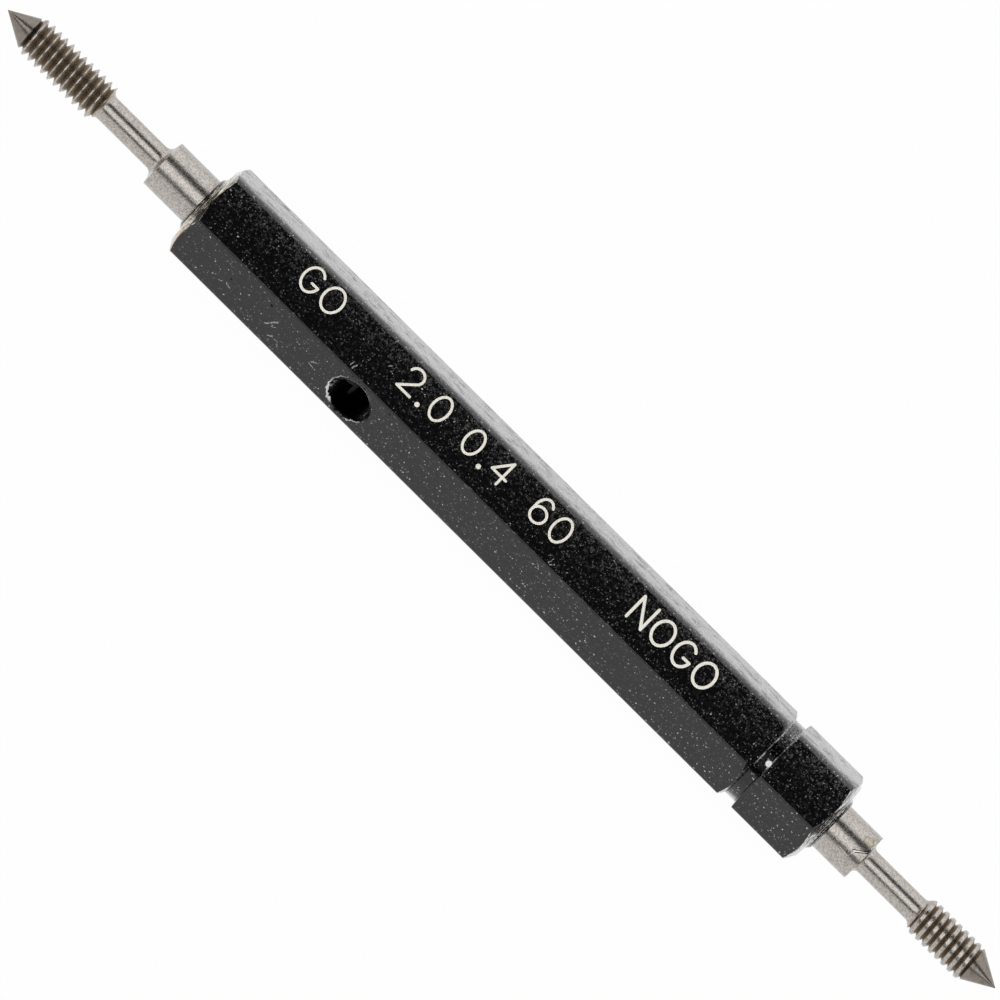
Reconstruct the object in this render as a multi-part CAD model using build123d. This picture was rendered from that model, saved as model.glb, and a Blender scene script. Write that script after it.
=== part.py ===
from build123d import *
from math import ceil, cos, radians, sin, tan
import os

# Double-ended thread plug gauge, in millimetres.
# A hexagonal handle lies on one flat. Its axis runs along X: the GO member stands out of the -X
# end and the NOGO member out of the +X end. The origin is on the resting flat, under the middle
# of the whole gauge. Each member is one turned piece, held in the handle by a taper shank.

# Handle: a length of hexagonal bar
handle_length = 40.14
across_flats = 4.7
edge_rounding = 0.25

# Turned end of the handle, from the socket's mouth outward: a narrow land, a short slope down,
# a nearly flat face, and a chamfer that runs off the hexagon's corners
mouth_land_width = 0.04
mouth_slope_width = 0.22
mouth_slope_height = 0.175
end_face_width = 0.51
end_face_fall = 0.045
end_chamfer_angle = 28.5

# Marking ring turned into the handle near the NOGO end
ring_from_end = 4.22
ring_floor_width = 0.59
ring_depth_below_flats = 0.06
ring_inner_wall_angle = 32
ring_outer_wall_angle = 12

# Drift hole across the handle, for driving the GO member out
drift_hole_diameter = 2.15
drift_hole_from_end = 11.05
drift_hole_rim_chamfer = 0.13
drift_bite = 0.35

# Taper fit between shank and socket, measured on diameter
taper_share = 1 / 50
shank_end_clearance = 0.6
shank_end_chamfer = 0.1
socket_mouth_chamfer = 0.06
nogo_shank_length = 10.2
collar_diameter = 2.5

# Thread form and point that both members share
pitch = 0.4
flank_angle = 60
point_angle = 60

# GO member, outside the handle
go_collar_length = 2.47
go_shoulder_fillet = 0.36
go_shoulder_angle = 78
go_neck_length = 3.5
go_neck_diameter = 1.29
go_thread_length = 4.64
go_pitch_diameter = 1.74
go_crest_flat = 0.05
go_runout_fillet = 0.31
go_runout_angle = 75
go_crest_turn = 331

# NOGO member, outside the handle
nogo_collar_length = 2.045
nogo_shoulder_fillet = 0.25
nogo_shoulder_angle = 87
nogo_neck_length = 3.28
nogo_neck_diameter = 1.28
nogo_thread_length = 3.46
nogo_pitch_diameter = 1.837
nogo_crest_flat = 0.158
nogo_runout_fillet = 0.27
nogo_runout_angle = 45
nogo_crest_turn = 103

# One overrun for every cutting tool
overrun = 0.5

handle_apothem = across_flats / 2
collar_radius = collar_diameter / 2
corner_radius = (handle_apothem - edge_rounding) / cos(radians(30)) + edge_rounding
drift_radius = drift_hole_diameter / 2
go_shank_length = drift_hole_from_end - drift_radius + drift_bite

# A hexagon's neighbouring flats are 60 degrees apart, and half of that turns a corner to a flat
flat_step = 360 / 6
flat_turn = flat_step / 2

# Radial drop of a flank for each unit along the axis
flank_slope = 1 / tan(radians(flank_angle / 2))


def crest_radius(pitch_diameter, crest_flat):
    return pitch_diameter / 2 + (pitch / 4 - crest_flat / 2) * flank_slope


def root_radius(pitch_diameter):
    # The flanks meet in a sharp root
    return pitch_diameter / 2 - pitch / 4 * flank_slope


def point_length(crest):
    # Length of the ground point, from its tip to where it reaches full crests
    return crest / tan(radians(point_angle / 2))


go_crest = crest_radius(go_pitch_diameter, go_crest_flat)
nogo_crest = crest_radius(nogo_pitch_diameter, nogo_crest_flat)
go_outside = go_collar_length + go_neck_length + go_thread_length + point_length(go_crest)
nogo_outside = nogo_collar_length + nogo_neck_length + nogo_thread_length + point_length(nogo_crest)

# The gauge is centred on the origin, so the handle sits towards the shorter member
handle_centre = (go_outside - nogo_outside) / 2
go_face = handle_centre - handle_length / 2
nogo_face = handle_centre + handle_length / 2


def turned(profile):
    # A closed outline of (along, radius) points or edges, revolved about Z
    return revolve(make_face(Plane.XZ * profile), axis=Axis.Z, revolution_arc=360)


def outline(*points):
    # Points are given as (along the axis, radius)
    return Polyline(*[(radius, along) for along, radius in points], close=True)


def straight(start, end):
    # A straight edge drawn as a curve, so that a long taper turned from it has few facets
    middle = ((start[0] + end[0]) / 2, (start[1] + end[1]) / 2)
    return Bezier(start, middle, end)


def along_x(solid):
    # A solid turned about Z is laid along X
    return Rot(0, 90, 0) * solid


def turned_end():
    # Outline of one end of the handle, as (radius, depth behind the socket's mouth) points
    land = collar_radius + socket_mouth_chamfer + mouth_land_width
    slope = land + mouth_slope_width
    face = slope + end_face_width
    rim = corner_radius + overrun
    face_depth = mouth_slope_height + end_face_fall
    rim_depth = face_depth + (rim - face) * tan(radians(end_chamfer_angle))
    return [(land, 0), (slope, mouth_slope_height), (face, face_depth), (rim, rim_depth)]


def turned_envelope():
    # A round bar longer in radius than the hexagon, with the turned form at each end
    half = handle_length / 2
    top = [(radius, half - depth) for radius, depth in turned_end()]
    bottom = [(radius, -along) for radius, along in reversed(top)]
    profile = Polyline((0, half), *top, *bottom, (0, -half), close=True)
    # Its seam is turned away from the sockets' seams and from the middle of a flat
    return Pos(handle_centre, 0, 0) * Rot(flat_step * 3 / 4, 0, 0) * along_x(turned(profile))


def hexagonal_bar():
    # Flats face up and down, and the long edges are slightly rounded
    section = RegularPolygon(radius=handle_apothem, side_count=6, major_radius=False)
    section = fillet(section.vertices(), edge_rounding)
    bar = extrude(section, amount=handle_length / 2, both=True)
    return Pos(handle_centre, 0, 0) * along_x(Rot(0, 0, flat_turn) * bar)


def marking_ring_cutter():
    # A turned groove with a flat floor just under the flats and leaning walls
    floor_radius = handle_apothem - ring_depth_below_flats
    rim_radius = corner_radius + overrun
    rise = rim_radius - floor_radius
    inner = -ring_floor_width / 2
    outer = ring_floor_width / 2
    profile = outline(
        (inner, floor_radius),
        (inner - rise * tan(radians(ring_inner_wall_angle)), rim_radius),
        (outer + rise * tan(radians(ring_outer_wall_angle)), rim_radius),
        (outer, floor_radius),
    )
    return Pos(nogo_face - ring_from_end, 0, 0) * along_x(turned(profile))


def drift_hole_cutter():
    # A drill right through two opposite flats, with a countersunk rim at each
    sink = handle_apothem - drift_hole_rim_chamfer
    end = handle_apothem + overrun
    wide = drift_radius + drift_hole_rim_chamfer + overrun
    profile = outline(
        (-end, 0),
        (-end, wide),
        (-sink, drift_radius),
        (sink, drift_radius),
        (end, wide),
        (end, 0),
    )
    return Pos(go_face + drift_hole_from_end, 0, 0) * Rot(flat_step, 0, 0) * turned(profile)


def taper_radius(depth):
    # Radius of shank and socket at this depth inside the handle
    return collar_radius - depth * taper_share / 2


def socket_cutter(taper_length, shank_length):
    # Taper socket, from its mouth at zero back along -Z, with room past the shank's end.
    # Past the taper it is a straight bore, as wide as the taper's small end.
    depth = shank_length + shank_end_clearance
    mouth = collar_radius + socket_mouth_chamfer
    taper_start = (taper_radius(socket_mouth_chamfer), -socket_mouth_chamfer)
    taper_end = (taper_radius(taper_length), -taper_length)
    mouth_edges = Polyline((0, overrun), (mouth + overrun, overrun), (mouth, 0), taper_start)
    bore_edges = Polyline(taper_end, (taper_radius(taper_length), -depth), (0, -depth), (0, overrun))
    return turned(Curve() + [mouth_edges, straight(taper_start, taper_end), bore_edges])


def at_go_end(solid):
    # Outward along +Z becomes outward along -X, turned and not mirrored
    return Pos(go_face, 0, 0) * Rot(0, 0, 180) * along_x(solid)


def at_nogo_end(solid):
    return Pos(nogo_face, 0, 0) * along_x(solid)


def make_handle():
    handle = hexagonal_bar()
    handle -= at_go_end(socket_cutter(go_shank_length - drift_bite, go_shank_length))
    handle -= at_nogo_end(socket_cutter(nogo_shank_length, nogo_shank_length))
    handle -= drift_hole_cutter()
    handle -= marking_ring_cutter()
    return handle & turned_envelope()


def concave_rise(foot, start_radius, end_radius, fillet_radius, angle, sense):
    # A concave fillet that leaves a neck at its foot and runs on straight at the same angle.
    # Sense is 1 where it rises outward along +Z, and -1 where it rises back to the handle.
    turn = radians(angle)
    fillet_radius = min(fillet_radius, (end_radius - start_radius) / (1 - cos(turn)))

    # The distance from each end of a Bezier curve to its next point that follows an arc closely
    reach = fillet_radius * 4 / 3 * tan(turn / 4)
    arc_radius = start_radius + fillet_radius * (1 - cos(turn))
    arc_along = foot + sense * fillet_radius * sin(turn)
    arc = Bezier(
        (start_radius, foot),
        (start_radius, foot + sense * reach),
        (arc_radius - reach * sin(turn), arc_along - sense * reach * cos(turn)),
        (arc_radius, arc_along),
    )
    run = (end_radius - arc_radius) / tan(turn)
    return arc, Line(arc @ 1, (end_radius, arc_along + sense * run))


def member_blank(shank_length, collar_length, shoulder, neck_length, neck_diameter,
                 runout, thread_length, crest):
    # The turned blank at full crest size, outward along +Z from the handle's end at zero.
    # Shoulder and runout are each a fillet radius and an angle to the axis.
    neck = neck_diameter / 2
    thread_start = collar_length + neck_length
    thread_end = thread_start + thread_length
    tip = thread_end + point_length(crest)
    inner = -shank_length

    # The shoulder is drawn from a foot at zero, then moved to end at the collar's length
    shoulder_arc, shoulder_slope = concave_rise(0, neck, collar_radius, *shoulder, -1)
    shoulder_foot = collar_length - (shoulder_slope @ 1).Y
    to_foot = Pos(0, shoulder_foot, 0)
    runout_arc, runout_slope = concave_rise(thread_start, neck, crest, *runout, 1)

    taper_end = (taper_radius(shank_length - shank_end_chamfer), inner + shank_end_chamfer)
    shank_end = Polyline((0, inner), (taper_radius(shank_length) - shank_end_chamfer, inner), taper_end)
    neck_edge = Line((neck, shoulder_foot), (neck, thread_start))
    thread_and_point = Polyline(runout_slope @ 1, (crest, thread_end), (0, tip), (0, inner))
    return turned(Curve() + [
        shank_end,
        straight(taper_end, (collar_radius, 0)),
        Line((collar_radius, 0), (collar_radius, collar_length)),
        to_foot * shoulder_slope,
        to_foot * shoulder_arc,
        neck_edge,
        runout_arc,
        runout_slope,
        thread_and_point,
    ])


def thread_groove_turn(pitch_diameter, crest_flat, crest):
    # One turn of the right-hand groove between crests, starting at zero and rising along +Z.
    # It stands out of the crests by as much as keeps half of the crest's flat between turns.
    root = root_radius(pitch_diameter)
    rim = crest + crest_flat / 4 * flank_slope
    half_width = (rim - root) / flank_slope
    section = outline((0, root), (-half_width, rim), (half_width, rim))
    path = Helix(pitch=pitch, height=pitch, radius=pitch_diameter / 2)
    return sweep(make_face(Plane.XZ * section), path=path, is_frenet=True)


def cut_thread(blank, thread_start, thread_length, pitch_diameter, crest_flat, crest_turn):
    # The groove runs in over the neck's end and off along the point, one turn after another
    crest = crest_radius(pitch_diameter, crest_flat)
    groove = thread_groove_turn(pitch_diameter, crest_flat, crest)
    fade = point_length(crest) - point_length(root_radius(pitch_diameter))
    turns = ceil((thread_length + fade) / pitch) + 2
    for turn in range(turns):
        along = thread_start + (turn - 1) * pitch
        blank -= Pos(0, 0, along) * Rot(0, 0, crest_turn + 180) * groove
    return blank


def make_go_member():
    blank = member_blank(
        go_shank_length, go_collar_length, (go_shoulder_fillet, go_shoulder_angle),
        go_neck_length, go_neck_diameter, (go_runout_fillet, go_runout_angle),
        go_thread_length, go_crest,
    )
    return at_go_end(cut_thread(
        blank, go_collar_length + go_neck_length, go_thread_length,
        go_pitch_diameter, go_crest_flat, go_crest_turn,
    ))


def make_nogo_member():
    blank = member_blank(
        nogo_shank_length, nogo_collar_length, (nogo_shoulder_fillet, nogo_shoulder_angle),
        nogo_neck_length, nogo_neck_diameter, (nogo_runout_fillet, nogo_runout_angle),
        nogo_thread_length, nogo_crest,
    )
    return at_nogo_end(cut_thread(
        blank, nogo_collar_length + nogo_neck_length, nogo_thread_length,
        nogo_pitch_diameter, nogo_crest_flat, nogo_crest_turn,
    ))


def lying_on_flat(solid):
    # The axis is lifted until the handle's lowest flat is at zero
    return Pos(0, 0, handle_apothem) * solid


def main():
    nodes = {
        "hex_handle": make_handle(),
        "go_member": make_go_member(),
        "nogo_member": make_nogo_member(),
    }
    os.makedirs("parts", exist_ok=True)
    for name, solid in nodes.items():
        export_step(lying_on_flat(solid), f"parts/{name}.step")


main()
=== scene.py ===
import bpy
import bmesh
import math
from functools import reduce
from mathutils import Matrix, Vector


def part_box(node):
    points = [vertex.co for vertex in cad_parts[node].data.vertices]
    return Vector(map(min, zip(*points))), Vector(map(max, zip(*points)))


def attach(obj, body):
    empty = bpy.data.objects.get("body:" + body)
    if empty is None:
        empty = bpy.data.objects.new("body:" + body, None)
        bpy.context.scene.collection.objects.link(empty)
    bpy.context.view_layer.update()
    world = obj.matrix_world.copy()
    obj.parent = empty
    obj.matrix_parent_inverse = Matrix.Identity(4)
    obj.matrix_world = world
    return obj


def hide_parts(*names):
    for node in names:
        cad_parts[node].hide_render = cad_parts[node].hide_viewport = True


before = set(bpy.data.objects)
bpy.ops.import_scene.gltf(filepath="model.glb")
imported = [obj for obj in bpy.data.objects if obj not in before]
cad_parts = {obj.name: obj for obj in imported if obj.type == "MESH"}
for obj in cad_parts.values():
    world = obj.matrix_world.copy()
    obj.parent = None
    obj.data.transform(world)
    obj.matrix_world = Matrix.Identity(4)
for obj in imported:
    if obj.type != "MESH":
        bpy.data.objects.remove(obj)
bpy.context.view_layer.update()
mm = 0.001
handleLow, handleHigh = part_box("hex_handle")
axisHeight = (handleLow.z + handleHigh.z) / 2 / mm  # all shapes below are in millimetres
print("frame loaded, axis at", round(axisHeight, 3), "mm")


def addNode(tree, kind, settings=None, sockets=None):
    node = tree.nodes.new(kind)
    for name, value in (settings or {}).items():
        setattr(node, name, value)
    setSockets(node, sockets or {})
    return node


def setSockets(node, sockets):
    for name, value in sockets.items():
        connect(node.inputs[name], value)


def connect(socket, value):
    # a socket takes either a link or a plain value
    if isinstance(value, bpy.types.NodeSocket):
        socket.id_data.links.new(value, socket)
    else:
        socket.default_value = value


def treeOf(values):
    # a node that works on values belongs in the tree that they come from
    return next(value.id_data for value in values if isinstance(value, bpy.types.NodeSocket))


def calc(operation, *values, clamp=False):
    settings = {"operation": operation, "use_clamp": clamp}
    return addNode(treeOf(values), "ShaderNodeMath", settings, dict(enumerate(values))).outputs[0]


def times(*values):
    return reduce(lambda total, value: calc("MULTIPLY", total, value), values)


def plus(*values):
    return reduce(lambda total, value: calc("ADD", total, value), values)


def largest(*values):
    return reduce(lambda total, value: calc("MAXIMUM", total, value), values)


def minus(value, less, clamp=False):
    return calc("SUBTRACT", value, less, clamp=clamp)


def over(value, divisor, clamp=False):
    return calc("DIVIDE", value, divisor, clamp=clamp)


def timesPlus(value, factor, more, clamp=False):
    return calc("MULTIPLY_ADD", value, factor, more, clamp=clamp)


def absolute(value):
    return calc("ABSOLUTE", value)


def ramp(value, low, high, toLow=0.0, toHigh=1.0):
    # smooth step from low to high
    return addNode(value.id_data, "ShaderNodeMapRange", {"interpolation_type": "SMOOTHSTEP"}, {
        "Value": value, "From Min": low, "From Max": high, "To Min": toLow, "To Max": toHigh,
    }).outputs["Result"]


def mixColour(factor, first, second):
    sockets = {0: factor, 6: first, 7: second}  # the colour sockets of a Mix node have no names of their own
    return addNode(factor.id_data, "ShaderNodeMix", {"data_type": "RGBA"}, sockets).outputs[2]


def vectorCalc(operation, *values):
    node = addNode(treeOf(values), "ShaderNodeVectorMath", {"operation": operation}, dict(enumerate(values)))
    return node.outputs["Value" if operation in ("DOT_PRODUCT", "LENGTH", "DISTANCE") else "Vector"]


def scaleVector(vector, factor):
    sockets = {0: vector, "Scale": factor}
    return addNode(vector.id_data, "ShaderNodeVectorMath", {"operation": "SCALE"}, sockets).outputs["Vector"]


def splitVector(vector):
    return addNode(vector.id_data, "ShaderNodeSeparateXYZ", {}, {"Vector": vector}).outputs


def joinVector(x, y, z):
    return addNode(treeOf((x, y, z)), "ShaderNodeCombineXYZ", {}, {"X": x, "Y": y, "Z": z}).outputs[0]


def noise(vector, scale, detail=3.0, roughness=0.6):
    return addNode(vector.id_data, "ShaderNodeTexNoise", {}, {
        "Vector": vector, "Scale": scale, "Detail": detail, "Roughness": roughness,
    }).outputs


def objectPosition(tree):
    # position in millimetres, measured from the gauge's axis
    where = addNode(tree, "ShaderNodeTexCoord").outputs["Object"]
    return scaleVector(vectorCalc("SUBTRACT", where, (0, 0, axisHeight * mm)), 1 / mm)


def shaken(position, scale, reach):
    # the position pushed about, so that marks placed by it are uneven
    push = vectorCalc("SUBTRACT", noise(position, scale, 2.0)["Color"], (0.5, 0.5, 0.5))
    return vectorCalc("ADD", position, scaleVector(push, reach))


def radiusOf(position):
    return vectorCalc("LENGTH", vectorCalc("MULTIPLY", position, (0, 1, 1)))


def newGroup(name, inputs, outputs):
    # inputs are numbers and vectors with their first values, and outputs are the names of numbers
    group = bpy.data.node_groups.new(name, "ShaderNodeTree")
    for socketName, value in inputs.items():
        kind = "NodeSocketVector" if isinstance(value, tuple) else "NodeSocketFloat"
        group.interface.new_socket(name=socketName, in_out="INPUT", socket_type=kind).default_value = value
    for socketName in outputs:
        group.interface.new_socket(name=socketName, in_out="OUTPUT", socket_type="NodeSocketFloat")
    source = group.nodes.new("NodeGroupInput")
    target = group.nodes.new("NodeGroupOutput")
    return group, source.outputs, target.inputs


def useGroup(group, sockets):
    return addNode(treeOf(sockets.values()), "ShaderNodeGroup", {"node_tree": group}, sockets).outputs


origin = (0, 0, 0)


def makeGrainGroup():
    # scattered uneven grains
    group, given, out = newGroup(
        "surfaceGrain", {"Position": origin, "Spacing": 0.3, "Size": 0.3, "Share": 0.5, "Wobble": 0.1}, ["Mask"],
    )
    scale = over(1.0, given["Spacing"])
    moved = shaken(given["Position"], times(scale, 1.9), given["Wobble"])
    cells = addNode(group, "ShaderNodeTexVoronoi", {"feature": "F1"}, {"Vector": moved, "Scale": scale}).outputs
    picked = addNode(group, "ShaderNodeSeparateColor", {}, {"Color": cells["Color"]}).outputs
    size = times(given["Size"], plus(0.4, picked["Green"]))
    dome = minus(1.0, over(cells["Distance"], size), clamp=True)
    present = calc("LESS_THAN", picked["Red"], given["Share"])
    bright = times(ramp(dome, 0.0, 0.5), calc("POWER", picked["Blue"], 1.2))
    connect(out["Mask"], times(present, bright))
    return group


def makeTurnedGroup():
    # fine marks that run round the axis
    group, given, out = newGroup(
        "turnedMarks", {"Position": origin, "Spacing": 0.05, "Wander": 0.5}, ["Height", "Streak"],
    )
    stretch = joinVector(over(1.0, given["Spacing"]), given["Wander"], given["Wander"])
    stretched = vectorCalc("MULTIPLY", given["Position"], stretch)
    connect(out["Height"], noise(stretched, 1.0)["Fac"])
    connect(out["Streak"], ramp(noise(stretched, 0.17, 2.0)["Fac"], 0.35, 0.65))
    return group


def makeWornEdgeGroup():
    # a broken band where the distance from an edge is small
    group, given, out = newGroup(
        "wornEdge", {"Position": origin, "Distance": 0.0, "Width": 0.05, "Patch": 0.5, "Cover": 0.5}, ["Mask"],
    )
    patches = noise(given["Position"], over(1.0, given["Patch"]), 4.0, 0.65)["Fac"]
    reach = times(plus(minus(patches, 0.5), given["Cover"]), 2.0, given["Width"])
    near = minus(reach, given["Distance"])
    connect(out["Mask"], over(near, times(given["Width"], 0.35), clamp=True))
    return group


def makeScratchGroup():
    # a mark along a straight line between two points, laid over the marks before it
    group, given, out = newGroup(
        "scratchMark", {"Under": 0.0, "Position": origin, "Start": origin, "End": origin, "Width": 0.05}, ["Mask"],
    )
    line = vectorCalc("SUBTRACT", given["End"], given["Start"])
    offset = vectorCalc("SUBTRACT", given["Position"], given["Start"])
    length = plus(vectorCalc("DOT_PRODUCT", line, line), 1e-6)  # never nought, for a mark that is one spot
    share = over(vectorCalc("DOT_PRODUCT", offset, line), length, clamp=True)
    gap = vectorCalc("DISTANCE", offset, scaleVector(line, share))
    connect(out["Mask"], largest(given["Under"], ramp(over(gap, given["Width"]), 1.0, 0.35)))
    return group


def makeArcGroup():
    # a mark round part of a circle: Toward is the middle of the part, Turn the cosine of half of it
    group, given, out = newGroup("arcMark", {
        "Under": 0.0, "Position": origin, "Centre": origin, "Toward": (1, 0, 0), "Turn": -2.0, "Radius": 0.3,
        "Width": 0.05,
    }, ["Mask", "Inside"])
    offset = vectorCalc("SUBTRACT", given["Position"], given["Centre"])
    past = minus(vectorCalc("LENGTH", offset), given["Radius"])
    line = ramp(over(absolute(past), given["Width"]), 1.0, 0.35)
    toward = vectorCalc("DOT_PRODUCT", vectorCalc("NORMALIZE", offset), given["Toward"])
    part = ramp(minus(toward, given["Turn"]), -0.08, 0.08)
    connect(out["Mask"], largest(given["Under"], times(line, part)))
    connect(out["Inside"], ramp(past, 0.03, -0.03))
    return group


grainGroup = makeGrainGroup()
turnedGroup = makeTurnedGroup()
wornEdgeGroup = makeWornEdgeGroup()
scratchGroup = makeScratchGroup()
arcGroup = makeArcGroup()
print("shared effects ready")


def clearTree(owner):
    # an empty node tree for a material or the world
    owner.use_nodes = True
    owner.node_tree.nodes.clear()
    return owner.node_tree


def newMaterial(name):
    material = bpy.data.materials.new(name)
    tree = clearTree(material)
    shader = addNode(tree, "ShaderNodeBsdfPrincipled")
    addNode(tree, "ShaderNodeOutputMaterial", {}, {"Surface": shader.outputs[0]})
    return material, tree, shader


def addBump(shader, layers):
    # each layer is a height and its depth in millimetres
    total = 0.0
    for height, depth in layers:
        total = timesPlus(height, depth, total)
    bump = addNode(shader.id_data, "ShaderNodeBump", {}, {"Height": total, "Distance": mm})
    connect(shader.inputs["Normal"], bump.outputs["Normal"])


def around(degrees, along=0.0, radius=1.0):
    # a point round the gauge's axis, from +Y towards +Z
    turn = math.radians(degrees)
    return Vector((along, radius * math.cos(turn), radius * math.sin(turn)))


def addObject(name, data):
    thing = bpy.data.objects.new(name, data)
    bpy.context.scene.collection.objects.link(thing)
    return thing


handle = {
    "length": 40.14,
    "acrossFlats": 4.7,
    # how far each long edge is rounded on the flats before and after it, from the edge at +Y upwards
    "edgeReach": ((0.16, 0.16), (1.0, 0.2), (0.06, 0.06), (0.15, 0.15), (0.15, 0.15), (0.15, 0.15)),
    "arcSteps": 16,
    "flatSteps": 12,
    "landWidth": 0.04,  # turned end, from the socket's mouth outward
    "slopeWidth": 0.22,
    "slopeHeight": 0.175,
    "faceWidth": 0.51,
    "faceFall": 0.045,
    "chamferAngle": 28.5,
    "chamferRows": 4,
    "turnedRounding": 0.035,
    "chamferStart": 0.1,  # outside the face, where its evenly spaced rows begin
    "edgeBreak": 0.025,
    "edgeRows": [(1.0, 0.4, 0.6), (1.0, 0.0, 1.8)],  # after the chamfer's rows: share, inset, depth in breaks
    "collarRadius": 1.25,
    "mouthChamfer": 0.06,
    "taperShare": 1 / 50,
    "goTaperLength": 9.975,
    "goSocketDepth": 10.925,
    "nogoTaperLength": 10.2,
    "nogoSocketDepth": 10.8,
    "ringFromEnd": 4.22,
    "ringFloorWidth": 0.59,
    "ringDepth": 0.06,
    "ringInnerAngle": 32,
    "ringOuterAngle": 12,
    "ringRounding": 0.02,
    "ringWallShare": 0.9,  # of the walls' height, that is drawn as part of the rounded line
    "holeFromEnd": 11.05,
    "holeDiameter": 2.05,
    "holeChamfer": 0.18,
    "holeDrop": 0.1,  # the drill has run down from the middle of its countersink
    "holeSegments": 96,
    "holeFace": 150,  # the flat that it enters by, as an angle round the axis from +Y
    "overrun": 0.5,
}
apothem = handle["acrossFlats"] / 2
handleCentre = (handleLow.x + handleHigh.x) / 2 / mm
halfLength = handle["length"] / 2
goFace, nogoFace = handleCentre - halfLength, handleCentre + halfLength
ringCentre = nogoFace - handle["ringFromEnd"]
ringFloor = apothem - handle["ringDepth"]
holeCentre = goFace + handle["holeFromEnd"]
mouthRadius = handle["collarRadius"] + handle["mouthChamfer"]
faceRadius = mouthRadius + handle["landWidth"] + handle["slopeWidth"] + handle["faceWidth"]
faceDepth = handle["slopeHeight"] + handle["faceFall"]


def spoke(turn):
    return Vector((math.cos(turn), math.sin(turn)))


def wholeTurn(steps):
    return [2 * math.pi * step / steps for step in range(steps)]


def hexPerimeter():
    # (angle, radius) of points round the hexagon, from the edge at +Y
    corners = [spoke(math.radians(60 * edge)) * apothem / math.cos(math.radians(30)) for edge in range(6)]
    points = []
    for edge, corner in enumerate(corners):
        before, after = handle["edgeReach"][edge]
        ahead = corners[(edge + 1) % 6]
        start = corner + (corners[edge - 1] - corner).normalized() * before
        end = corner + (ahead - corner).normalized() * after
        points += curve(start, corner, end, handle["arcSteps"])
        nextStart = ahead + (corner - ahead).normalized() * handle["edgeReach"][(edge + 1) % 6][0]
        points += [end.lerp(nextStart, step / handle["flatSteps"]) for step in range(1, handle["flatSteps"])]
    return [(math.atan2(p.y, p.x), p.length) for p in points]


def curve(start, corner, end, steps):
    # points from start to end, rounding the corner between them
    shares = [step / steps for step in range(steps + 1)]
    return [start.lerp(corner, share).lerp(corner.lerp(end, share), share) for share in shares]


def roundCorners(points, rounding, steps=4):
    # replaces each corner of a line of points by a small curve
    curved = [points[0]]
    for before, corner, after in zip(points, points[1:], points[2:]):
        corner = Vector(corner)
        back, ahead = Vector(before) - corner, Vector(after) - corner
        start = corner + back.normalized() * min(rounding, back.length / 2)
        end = corner + ahead.normalized() * min(rounding, ahead.length / 2)
        curved += [tuple(point) for point in curve(start, corner, end, steps)]
    return curved + [points[-1]]


def chamferDepth(radius):
    # how far the chamfer lies behind the socket's mouth, at a radius
    return faceDepth + (radius - faceRadius) * math.tan(math.radians(handle["chamferAngle"]))


def endRings(sign, taperLength, socketDepth):
    # rules for rings from the socket's bottom out over the turned end to the hexagon
    inner = handle["collarRadius"] - taperLength * handle["taperShare"] / 2
    land = mouthRadius + handle["landWidth"]
    onward = faceRadius + handle["chamferStart"]
    turned = roundCorners([
        (handle["mouthChamfer"], handle["collarRadius"]), (0, mouthRadius), (0, land),
        (handle["slopeHeight"], land + handle["slopeWidth"]), (faceDepth, faceRadius),
        (chamferDepth(onward), onward),
    ], handle["turnedRounding"])
    fixed = [(socketDepth, inner), (taperLength, inner)] + turned
    rules = [lambda radius, depth=depth, size=size: (sign * (halfLength - depth), size) for depth, size in fixed]
    rows = [(step / handle["chamferRows"], 1.0, 0.0) for step in range(1, handle["chamferRows"] + 1)]
    for share, inset, behind in rows + handle["edgeRows"]:

        def onChamfer(radius, share=share, inset=inset, behind=behind):
            size = onward + (radius - handle["edgeBreak"] * inset - onward) * share
            return sign * (halfLength - chamferDepth(size) - handle["edgeBreak"] * behind), size

        rules.append(onChamfer)
    return rules


def ringRules():
    # rules for the marking ring's outline: a leaning wall, the floor and the other wall
    middle = ringCentre - handleCentre
    half = handle["ringFloorWidth"] / 2
    inner = math.tan(math.radians(handle["ringInnerAngle"]))
    outer = math.tan(math.radians(handle["ringOuterAngle"]))
    low, high = middle - half, middle + half
    rise = (apothem - ringFloor) * handle["ringWallShare"]
    floorLine = roundCorners([
        (low - rise * inner, ringFloor + rise), (low, ringFloor), (high, ringFloor),
        (high + rise * outer, ringFloor + rise),
    ], handle["ringRounding"])
    rules = [lambda radius: (low - (radius - ringFloor) * inner, radius)]
    rules += [lambda radius, x=x, size=size: (x, size) for x, size in floorLine]
    rules.append(lambda radius: (high + (radius - ringFloor) * outer, radius))
    return rules


def onAxis(x, angle, radius):
    # a point given round the gauge's axis, in metres
    return Vector((x, radius * math.cos(angle), axisHeight + radius * math.sin(angle))) * mm


def ringFaces(rows, columns, base=0):
    # quads between rings of points that follow one another
    faces = []
    for row in range(rows - 1):
        for column in range(columns):
            a = base + row * columns + column
            b = base + row * columns + (column + 1) % columns
            faces.append((a, b, b + columns, a + columns))
    return faces


def skinRings(name, rings):
    # joins rings of points, and closes the first and the last
    count = len(rings[0])
    points = [point for ring in rings for point in ring]
    faces = ringFaces(len(rings), count)
    faces += [tuple(reversed(range(count))), tuple(range(len(points) - count, len(points)))]
    return solidFrom(name, points, faces)


def solidFrom(name, points, faces):
    mesh = bpy.data.meshes.new(name)
    mesh.from_pydata(points, [], faces)
    shape = bmesh.new()
    shape.from_mesh(mesh)
    bmesh.ops.remove_doubles(shape, verts=shape.verts, dist=0.0002 * mm)
    bmesh.ops.recalc_face_normals(shape, faces=shape.faces)
    shape.to_mesh(mesh)
    shape.free()
    return addObject(name, mesh)


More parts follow.
